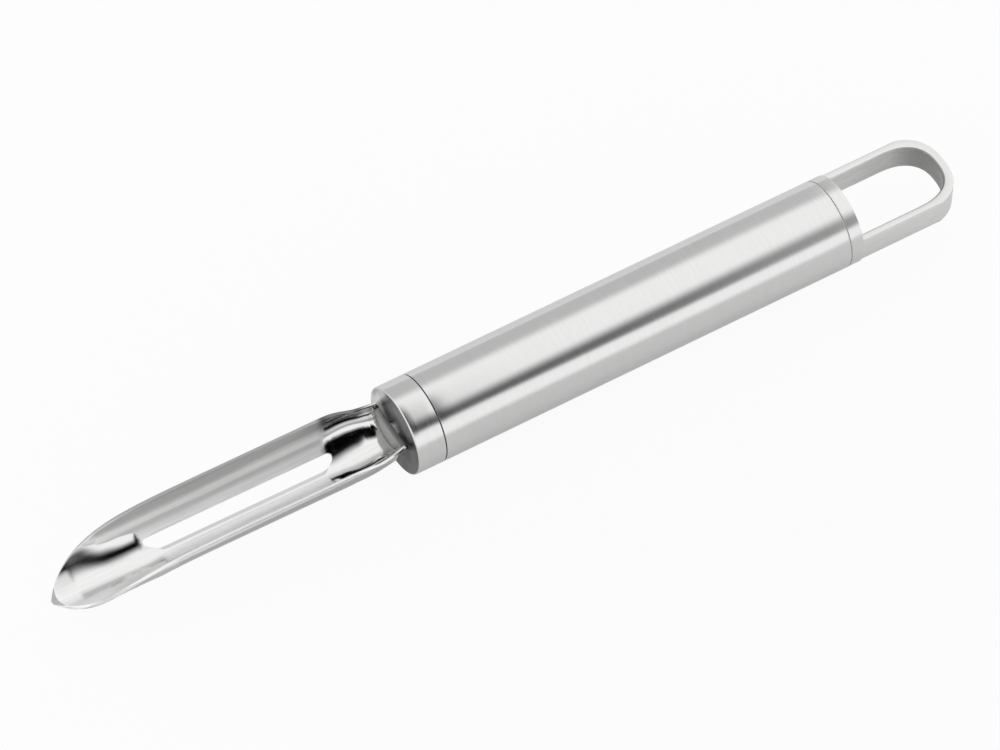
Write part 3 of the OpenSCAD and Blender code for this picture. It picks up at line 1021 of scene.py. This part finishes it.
@dataclass
class EndPlate:
    """Half-round plate that closes the neck, with the weld that holds it."""

    axis_z: float
    centre_z: float = 3 * MM
    edge_r: float = 0.12 * MM
    edge_steps: int = 3
    sharp_deg: float = 40.0
    arc_steps: int = 48
    bead_r: float = 0.28 * MM
    bead_wander: float = 0.05 * MM
    bead_count: int = 64
    end_sweep: float = 0.12
    end_wander: float = 0.16 * MM
    end_count: int = 7

    def __post_init__(self) -> None:
        """Works out the plate's faces, its radius, and where its arc begins and how far it turns."""
        low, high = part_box("end_plate")
        self.front_x, self.back_x = low.x, high.x
        self.radius = self.axis_z + self.centre_z - low.z
        rise = math.asin((high.z - self.axis_z - self.centre_z) / self.radius)
        self.start, self.sweep = -math.pi - rise, math.pi + 2 * rise

    def outline(self) -> list[Pair]:
        """Outline of the plate as (y, z) above the axis: an arc closed by its flat top."""
        turns = [self.start + self.sweep * i / self.arc_steps for i in range(self.arc_steps + 1)]
        return [(self.radius * math.cos(a), self.centre_z + self.radius * math.sin(a)) for a in turns]

    def build(self, material: Material) -> Object:
        """Extrudes the plate and rounds its edges.

        Args:
            material: finish of the plate.

        Returns:
            The plate's object.
        """
        bm = bmesh.new()
        ring = [bm.verts.new((self.front_x, y, self.axis_z + z)) for y, z in self.outline()]
        moved = bmesh.ops.extrude_face_region(bm, geom=[bm.faces.new(ring)])["geom"]
        bmesh.ops.translate(bm, verts=[v for v in moved if isinstance(v, bmesh.types.BMVert)],
                            vec=(self.back_x - self.front_x, 0, 0))
        bmesh.ops.recalc_face_normals(bm, faces=bm.faces)
        sharp = [e for e in bm.edges if e.calc_face_angle(0) > math.radians(self.sharp_deg)]
        bmesh.ops.bevel(bm, geom=sharp, offset=self.edge_r, segments=self.edge_steps, profile=0.5,
                        affect="EDGES")
        plate = make_object("neck_end_plate", [], [], material)
        bm.to_mesh(plate.data)
        bm.free()
        finish_mesh(plate.data)
        return plate

    def dress(self) -> None:
        """Builds the plate and its weld and hands them over."""
        beads = BeadTree()
        steel = PlainFinish("plate_steel", (0.36, 0.36, 0.355), rough=0.42)
        place_piece(self.build(steel.material()), Body.BLADE, Slot.POLISHED, "end_plate")
        weld = PlainFinish("weld_steel", (0.4, 0.4, 0.395), rough=0.38).material()
        # The weld's ends beside the ears are near black: painted shade for the dark gaps there.
        weld_end_shade = PlainFinish("scorched_weld", (0.06, 0.06, 0.06), rough=0.4).material()
        row = {"row_x": self.front_x, "centre_height": self.axis_z + self.centre_z, "arc_radius": self.radius,
               "arc_start": self.start, "arc_sweep": self.sweep, "count": self.bead_count,
               "bead_radius": self.bead_r, "wander": self.bead_wander, "seed": 4, "finish": weld}
        place_piece(beads.bake("neck_weld", **row), Body.BLADE, Slot.POLISHED)
        ends = (("near_weld_end", self.start, 7), ("far_weld_end", self.start + self.sweep, 9))
        for name, turn, seed in ends:
            row |= {"row_x": self.back_x - self.bead_r, "arc_start": turn - self.end_sweep / 2,
                    "arc_sweep": self.end_sweep, "arc_radius": self.radius + self.bead_r,
                    "count": self.end_count, "wander": self.end_wander, "seed": seed, "finish": weld_end_shade}
            place_piece(beads.bake(name, **row), Body.BLADE, Slot.POLISHED)


class TurnTree(Group):
    """Geometry Nodes group that turns a profile round the handle's axis."""

    def __init__(self) -> None:
        """Builds the group."""
        super().__init__("turn_profile", profile="Object", segments="Int", axis_height="Float")
        segments = self.given["segments"]
        profile = self.add("GeometryNodeObjectInfo", {"Object": self.given["profile"]}).outputs["Geometry"]
        count = self.add("GeometryNodeAttributeDomainSize", {0: profile}).outputs["Point Count"]
        rows = segments + 1.0
        grid = self.value("GeometryNodeMeshGrid", {"Vertices X": count, "Vertices Y": rows})
        index = self.value("GeometryNodeInputIndex")
        # A quarter of a point keeps the quotient of whole numbers from falling short.
        point = self.math("FLOOR", (index + 0.25) / rows)
        turn = (index - point * rows) / segments * math.tau
        where = self.value("GeometryNodeInputPosition")
        sample = self.value("GeometryNodeSampleIndex", {"Geometry": profile, "Value": where, "Index": point},
                            data_type="FLOAT_VECTOR", domain="POINT")
        x, _, radius = self.axes(sample)
        side = radius * self.math("SINE", turn)
        high = radius * self.math("COSINE", turn) + self.given["axis_height"]
        place = self.value("ShaderNodeCombineXYZ", {0: x, 1: side, 2: high})
        turned = self.value("GeometryNodeSetPosition", {"Geometry": grid, "Position": place})
        self.close(self.value("GeometryNodeMergeByDistance", {"Geometry": turned, "Distance": MERGE}))

    def turn(self, name: str, corners: Sequence[Triple], axis_z: float, material: Material,
             segments: int = 192) -> Object:
        """Turns a closed profile.

        Args:
            name: name of the piece.
            corners: corners of the profile in order, as (x, radius, rounding).
            axis_z: height of the axis.
            material: finish of the piece.
            segments: faces round the axis.

        Returns:
            The turned piece, as a plain mesh.
        """
        outline = bpy.data.meshes.new(name + "_profile")
        ring = rounded_profile(corners)
        ring.append(ring[0])
        outline.from_pydata([(x, 0.0, r) for x, r in ring], [(i, i + 1) for i in range(len(ring) - 1)], [])
        drawn = link_object(name + "_profile", outline)
        turned = self.bake(name, profile=drawn, segments=segments, axis_height=axis_z, finish=material)
        bpy.data.objects.remove(drawn)
        return turned


def rounded_profile(corners: Sequence[Triple], steps: int = 5) -> list[Pair]:
    """Rounds the corners of a closed profile.

    Args:
        corners: points as (x, radius, rounding).
        steps: points on each rounding, less one.

    Returns:
        Points as (x, radius).
    """
    out: list[Pair] = []
    for i, (x, r, rounding) in enumerate(corners):
        here = Vector((x, r))
        to_last = (Vector(corners[i - 1][:2]) - here).normalized() * rounding
        to_next = (Vector(corners[(i + 1) % len(corners)][:2]) - here).normalized() * rounding
        for k in range(steps + 1 if rounding else 1):
            p = here + to_last * (1 - k / steps) ** 2 + to_next * (k / steps) ** 2
            out.append((p.x, p.y))
    return out


def station_line(x0: float, x1: float, r: float, count: int) -> list[Triple]:
    """Plain corners that divide a straight stretch of a profile, from x0 to x1, into count stretches."""
    return [(mix(x0, x1, i / count), r, 0.0) for i in range(1, count)]


@dataclass
class Handle:
    """Collar, tube and rear cap, all turned to one diameter round what they hold."""

    radius: float
    axis_z: float
    cap_len: float = 2.6 * MM
    bore_r: float = 2.15 * MM
    wall: float = 1 * MM
    bond: float = 0.05 * MM
    seat_gap: float = 0.02 * MM
    pin_play: float = 0.3 * MM
    pin_reach_play: float = 0.45 * MM
    bore_edge: float = 0.1 * MM
    face_edge: float = 0.35 * MM
    joint_edge: float = 0.03 * MM
    spigot_edge: float = 0.2 * MM
    face_limit: float = -0.99

    def __post_init__(self) -> None:
        """Works out the radii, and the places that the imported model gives."""
        self.inner_r = self.radius - self.wall
        self.spigot_r = self.inner_r - self.bond
        self.collar_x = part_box("front_cap")[0].x
        self.collar_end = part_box("front_joint_ring")[0].x
        self.cap_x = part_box("rear_joint_ring")[1].x
        self.cap_end = self.cap_x + self.cap_len

    def collar_profile(self) -> list[Triple]:
        """Draws the collar and its spigot, bored for the shaft, the bush and the stop pin's swing.

        Returns:
            Corners as (x, radius, rounding).
        """
        bush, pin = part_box("pivot_bush"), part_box("stop_pin")
        spigot_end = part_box("front_cap")[1].x
        seat_x, seat_r = bush[0].x - self.seat_gap, (bush[1].z - bush[0].z) / 2 + self.seat_gap
        reach = max(pin[1].y - pin[0].y, pin[1].z - pin[0].z) / 2
        pocket_x, pocket_r = pin[0].x - self.pin_play, reach + self.pin_reach_play
        return [
            (self.collar_x, self.bore_r, self.bore_edge), (self.collar_x, self.radius, self.face_edge),
            *station_line(self.collar_x + self.face_edge, self.collar_end - self.joint_edge, self.radius,
                          count=4),
            (self.collar_end, self.radius, self.joint_edge), (self.collar_end, self.spigot_r, 0.0),
            (spigot_end, self.spigot_r, self.spigot_edge), (spigot_end, pocket_r, 0.0),
            (pocket_x, pocket_r, 0.0), (pocket_x, seat_r, 0.0),
            (seat_x, seat_r, 0.0), (seat_x, self.bore_r, 0.0),
        ]

    def tube_profile(self) -> list[Triple]:
        """Draws the tube's wall.

        Returns:
            Corners as (x, radius, rounding).
        """
        start, end = (corner.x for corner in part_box("handle_tube"))
        return [
            (start, self.inner_r, 0.0), (start, self.radius, self.joint_edge),
            *station_line(start + self.joint_edge, end - self.joint_edge, self.radius, count=24),
            (end, self.radius, self.joint_edge), (end, self.inner_r, 0.0),
        ]

    def cap_profile(self) -> list[Triple]:
        """Draws the rear cap and its spigot, closed on the axis.

        Returns:
            Corners as (x, radius, rounding).
        """
        spigot_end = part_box("rear_cap_with_loop")[0].x
        return [
            (spigot_end, 0.0, 0.0), (spigot_end, self.spigot_r, self.spigot_edge),
            (self.cap_x, self.spigot_r, 0.0), (self.cap_x, self.radius, self.joint_edge),
            (self.cap_end, self.radius, self.joint_edge), (self.cap_end, 0.0, 0.0),
        ]

    def dress(self) -> None:
        """Turns the three steel pieces and hands them over."""
        lathe = TurnTree()
        steel = Steel("brushed_handle", axis_z=self.axis_z).material()
        for name, node, corners in (("front_collar", "front_cap", self.collar_profile()),
                                    ("grip_tube", "handle_tube", self.tube_profile()),
                                    ("rear_cap", "rear_cap_with_loop", self.cap_profile())):
            piece = lathe.turn(name, corners, self.axis_z, steel)
            if node == "front_cap":
                self.face_off(piece)
            place_piece(piece, Body.HANDLE, Slot.BRUSHED, node)

    def face_off(self, collar: Object) -> None:
        """Gives the collar's end face its own finish, with painted shade and a painted reflection.

        Args:
            collar: the turned collar.
        """
        collar.data.materials.append(FacedSteel("faced_collar", self.axis_z).material())
        for face in collar.data.polygons:
            if face.normal.x < self.face_limit and face.center.x < self.collar_x + self.wall:
                face.material_index = 1


@dataclass
class HangingLoop:
    """Strip that runs back from the rear cap, round a rounded end and forward again."""

    cap_end: float
    end_x: float
    radius: float
    axis_z: float
    root_len: float = 0.4 * MM
    arm_t: float = 2.1 * MM
    end_t: float = 1.8 * MM
    strip_w: float = 5.9 * MM
    round_len: float = 8.5 * MM
    square_share: float = 2.5
    inner_edge_r: float = 0.5 * MM
    outer_edge_r: float = 0.2 * MM
    sink: float = 0.004 * MM
    crease_deg: float = 40.0
    inside_limit: float = -0.35
    # Painted shade on the loop's inside: tone shares along X, darker towards the loop's closed end.
    inside_painted_shade_stops: tuple[Pair, ...] = ((-16 * MM, 1.0), (-8 * MM, 0.8), (-4 * MM, 0.5), (0.0, 0.4))

    def stations(self) -> list[tuple[Pair, Pair]]:
        """Lays out the stations along the loop, from the -Y arm to the +Y arm.

        Returns:
            Each station's inner and outer point, as (x, y).
        """
        arm_steps, end_steps = 24, 72
        power = 2 / self.square_share
        inner_half, outer_half = self.radius - self.arm_t, self.radius - self.sink
        inner_end, outer_len = self.end_x - self.end_t, self.round_len + self.end_t
        start = self.cap_end - self.root_len
        pairs = []
        for i in range(end_steps + 1):
            a = math.radians(-90 + 180 * i / end_steps)
            run = max(math.cos(a), 0.0) ** power
            swing = math.copysign(abs(math.sin(a)) ** power, math.sin(a))
            inner = (inner_end - self.round_len * (1 - run), inner_half * swing)
            outer = (self.end_x - outer_len * (1 - run), outer_half * swing)
            pairs.append((inner, outer))
        near, far = ([tuple((mix(start, x, i / arm_steps), y) for x, y in end) for i in range(arm_steps)]
                     for end in (pairs[0], pairs[-1]))
        return near + pairs + far[::-1]

    def section(self) -> list[Triple]:
        """Draws the strip's section, round its outer face and back round the inner one.

        Returns:
            Points as (0 on the inner face or 1 on the outer one, inset from that face, height).
        """
        half, corner_steps, side_levels = self.strip_w / 2, 5, (-0.5, 0.0, 0.5)
        turns = [math.radians(90 * i / corner_steps) for i in range(corner_steps + 1)]
        out = []
        for share, up, r in ((1, 1, self.outer_edge_r), (0, -1, self.inner_edge_r)):
            corner = [(r * (1 - math.sin(a)), half - r * (1 - math.cos(a))) for a in turns]
            face = [(inset, -z) for inset, z in corner]
            face += [(0.0, (half - r) * level) for level in side_levels]
            face += corner[::-1]
            out += [(share, inset, up * z) for inset, z in face]
        return out

    def point(self, inner: Pair, outer: Pair, share: float, inset: float, z: float) -> Triple:
        """Point of the strip's section at a station.

        Args:
            inner: inner point (x, y) of the station.
            outer: outer point (x, y) of the station.
            share: 0 at the inner face, 1 at the outer one.
            inset: distance from that face.
            z: height above the axis.

        Returns:
            The point in the frame, held inside the round bar that the loop is cut from.
        """
        limit = math.sqrt(max((self.radius - self.sink) ** 2 - z * z, 0.0))
        face_y = math.copysign(min(abs(outer[1]), limit), outer[1])
        a, c = Vector(inner), Vector((outer[0], face_y))
        step = (c - a).normalized()
        p = c - step * inset if share else a + step * inset
        return (p.x, p.y, self.axis_z + z)

    def build(self, material: Material) -> Object:
        """Sweeps the section along the loop and closes its ends inside the cap.

        Args:
            material: finish of the strip.

        Returns:
            The loop's object.
        """
        section = self.section()
        verts = [self.point(inner, outer, *s) for inner, outer in self.stations() for s in section]
        n = len(section)
        last = len(verts) - n
        faces = []
        for k in range(0, last, n):
            for j in range(n):
                a, b = k + j, k + (j + 1) % n
                faces.append((a, b, b + n, a + n))
        faces += [range(n), range(last, last + n)]
        loop = make_object("hanging_loop", verts, faces, material)
        finish_mesh(loop.data, self.crease_deg)
        return loop

    def dress(self) -> None:
        """Builds the loop, gives its inside a finish with milling lines, darkened by painted shade towards
        the loop's end, and hands it over.
        """
        bright = Steel("bright_loop", colour=(0.8, 0.8, 0.79), rough=0.34, spread=0.3, grain=Grain.ALONG_AXIS,
                       axis_z=self.axis_z, line_pitch=0.2 * MM, contrast=0.03)
        # The inside's lines are its own; its tone darkening towards the end is painted shade.
        milled_and_shaded = Steel("milled_loop", colour=(0.78, 0.78, 0.77), rough=0.34, spread=0.5,
                       grain=Grain.ALONG_AXIS, axis_z=self.axis_z, line_pitch=0.25 * MM, contrast=0.08,
                       stops=tuple((self.end_x + place, tone) for place, tone in self.inside_painted_shade_stops))
        loop = self.build(bright.material())
        loop.data.materials.append(milled_and_shaded.material())
        turn_x = self.end_x - self.end_t - self.round_len
        for face in loop.data.polygons:
            out = Vector((max(face.center.x - turn_x, 0.0), face.center.y, 0.0)).normalized()
            if face.normal.dot(out) < self.inside_limit:
                face.material_index = 1
        place_piece(loop, Body.HANDLE, Slot.BRUSHED, "rear_cap_with_loop")


@dataclass
class InnerParts:
    """Pieces inside the handle that keep the model's own meshes and get a finish.

    Each of the plain ones is a node with its finish's name, colour, roughness and metallic share.
    """

    axis_z: float
    plain: tuple[tuple[str, str, Triple, float, float], ...] = (
        ("retaining_ring", "spring_steel", (0.2, 0.2, 0.21), 0.35, 1.0),
        ("pivot_bush", "sintered_bronze", (0.62, 0.42, 0.2), 0.42, 1.0),
        ("thrust_washer", "washer_polymer", (0.62, 0.56, 0.42), 0.5, 0.0),
        ("front_joint_ring", "adhesive_line", (0.03, 0.03, 0.03), 0.5, 0.0),
        ("rear_joint_ring", "pale_adhesive_line", (0.7, 0.7, 0.68), 0.5, 0.0),
    )

    def dress(self) -> None:
        """Gives each kept node its finish."""
        turned = Steel("turned_shaft_steel", colour=(0.62, 0.62, 0.62), rough=0.28, spread=0.5,
                       axis_z=self.axis_z, line_pitch=0.15 * MM, line_len=3 * MM).material()
        finishes = {"pivot_shaft": turned, "stop_pin": turned}
        for node, name, colour, rough, metallic in self.plain:
            finishes[node] = PlainFinish(name, colour, rough, metallic).material()
        for node, material in finishes.items():
            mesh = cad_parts[node].data
            mesh.materials.clear()
            mesh.materials.append(material)
            LOG.info("%s keeps its mesh in %s", node, material.name)


@dataclass
class Studio:
    """Pale floor, soft sky, a shaded card and the photograph's camera.

    Each of the card's stations is a place along X, the degrees from overhead, towards the camera's
    side, between which the card is dark, the softness of these two edges and the level between them.
    A fade gives the card's levels at degrees beyond such an edge, for a softness of 1.
    """

    floor_half: float = 2.5
    floor_colour: float = 0.78
    camera_white: float = 0.93
    metal_white: float = 0.15
    bright: float = 1.08
    far_lean: Pair = (-28.0, -52.0)
    far_side: Pair = (0.55, 0.38)
    far_dim: float = 0.46
    camera_sky: float = 1.0
    card_r: float = 0.15
    card_stations: tuple[tuple[float, float, float, float, float, float], ...] = (
        (-0.16, 50, 62, 0.5, 1.0, 1.0), (-0.068, 50, 62, 0.5, 1.0, 1.0), (-0.061, 48, 60, 0.5, 1.0, 0.2),
        (-0.0555, 36, 56, 0.8, 1.0, 0.0), (-0.05, 25, 44, 0.8, 1.0, 0.0), (-0.043, 9, 22, 0.9, 1.0, 0.0),
        (-0.037, 6, 19, 0.9, 0.9, 0.0), (-0.031, 3, 12, 0.6, 0.6, 0.0), (-0.02, 3, 30, 0.7, 0.6, 0.0),
        (-0.012, 4, 45, 0.8, 0.5, 0.0), (0.003, 4, 47, 0.8, 0.5, 0.0), (0.009, 12, 50, 0.8, 0.5, 0.0),
        (0.013, 26, 52, 0.7, 0.3, 0.0), (0.0165, 41, 49, 0.55, 0.25, 0.05), (0.024, 42, 49, 0.5, 0.25, 0.09),
        (0.079, 42, 55, 0.5, 0.25, 0.15), (0.109, 41, 54, 0.5, 0.3, 0.34), (0.2, 41, 54, 0.5, 0.35, 0.4))
    fade_below: tuple[Pair, ...] = ((42, 1.0), (32, 0.85), (20, 0.48), (9, 0.16), (0, 0.0))
    fade_above: tuple[Pair, ...] = ((0, 0.0), (8, 0.15), (18, 0.5), (28, 1.0))
    lens: float = 311.94
    sensor: float = 36.0
    view_end: float = 20.0
    camera_place: Triple = (-0.50915, -0.7941, 1.3326)
    right: Triple = (0.8566, -0.5155, 0.0194)
    up: Triple = (0.4102, 0.7035, 0.5803)

    def lay_floor(self) -> None:
        """Makes the floor, white to the camera and pale to everything else."""
        b = Finish("floor_paper")
        metal = b.on_rays("Is Glossy Ray", "Is Transmission Ray")
        white = b.on_rays("Is Camera Ray") * self.camera_white + metal * self.metal_white
        paper = b.add("ShaderNodeBsdfDiffuse", {"Color": rgba((self.floor_colour,) * 3)})
        h = self.floor_half
        corners = ((-h, -h, 0), (h, -h, 0), (h, h, 0), (-h, h, 0))
        material = b.mixed(white, paper, b.glow("ShaderNodeEmission", 1.0))
        make_object("floor", corners, [range(4)], material)

    def hang_sky(self) -> None:
        """Makes the world: a bright sky that is dimmer on the far side."""
        world = bpy.data.worlds.new("studio_sky")
        bpy.context.scene.world = world
        world.use_nodes = True
        b = Board(world.node_tree)
        x, y, z = b.axes(b.add("ShaderNodeTexCoord").outputs["Generated"])
        lean = b.math("ARCTAN2", y * -1.0, z) * math.degrees(1)
        far = lean.span(*self.far_lean) * b.math("ABSOLUTE", x).span(*self.far_side)
        level = (1.0 - far * self.far_dim) * self.bright
        shown = b.value("ShaderNodeMix", {0: b.on_rays("Is Camera Ray"), 2: level, 3: self.camera_sky},
                        data_type="FLOAT")
        b.add("ShaderNodeOutputWorld", {"Surface": b.glow("ShaderNodeBackground", shown).outputs[0]})

    def hang_card(self) -> None:
        """Hangs the shaded card, part of a cylinder round the handle's axis, a dark band in metal."""
        verts, levels = [], []
        for place, low, high, below, above, least in self.card_stations:
            rows = [(low - run * below, level) for run, level in self.fade_below]
            rows += [(high + run * above, level) for run, level in self.fade_above]
            for degrees, level in rows:
                turn = math.radians(degrees)
                verts.append((place, -self.card_r * math.sin(turn), self.card_r * math.cos(turn)))
                levels.append(mix(least, 1.0, level) * self.bright)
        n = len(self.fade_below) + len(self.fade_above)
        faces = [(k + j, k + n + j, k + n + j + 1, k + j + 1)
                 for k in range(0, len(verts) - n, n) for j in range(n - 1)]
        b = Finish("shaded_card")
        level = b.value("ShaderNodeAttribute", output="Fac", attribute_name="level")
        glow, clear = b.glow("ShaderNodeEmission", level), b.add("ShaderNodeBsdfTransparent")
        card = make_object("shaded_card", verts, faces, b.mixed(b.on_rays("Is Camera Ray"), glow, clear))
        card.data.attributes.new("level", "FLOAT", "POINT").data.foreach_set("value", levels)

    def set_camera(self) -> None:
        """Places the camera of the photograph."""
        data = bpy.data.cameras.new("photo_camera")
        data.sensor_width, data.lens, data.clip_end = self.sensor, self.lens, self.view_end
        right, up = Vector(self.right).normalized(), Vector(self.up)
        up = (up - right * up.dot(right)).normalized()
        turn = Matrix((right, up, right.cross(up))).transposed().to_4x4()
        camera = link_object("photo_camera", data)
        camera.matrix_world = Matrix.Translation(self.camera_place) @ turn
        bpy.context.scene.camera = camera

    def build(self) -> None:
        """Builds the whole studio."""
        self.set_camera()
        self.lay_floor()
        self.hang_sky()
        self.hang_card()
        bpy.context.scene.view_settings.view_transform = "Standard"


def main() -> None:
    """Builds the studio and every piece."""
    logging.basicConfig(level=logging.INFO, format="%(name)s: %(message)s")
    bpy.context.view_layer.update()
    low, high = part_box("handle_tube")
    radius, axis_z = (high.y - low.y) / 2, (high.z + low.z) / 2
    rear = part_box("rear_cap_with_loop")
    Studio().build()
    Blade(axis_z).dress()
    EndPlate(axis_z).dress()
    handle = Handle(radius, axis_z)
    handle.dress()
    HangingLoop(handle.cap_end, rear[1].x, radius, axis_z).dress()
    InnerParts(axis_z).dress()


if __name__ == "__main__":
    main()
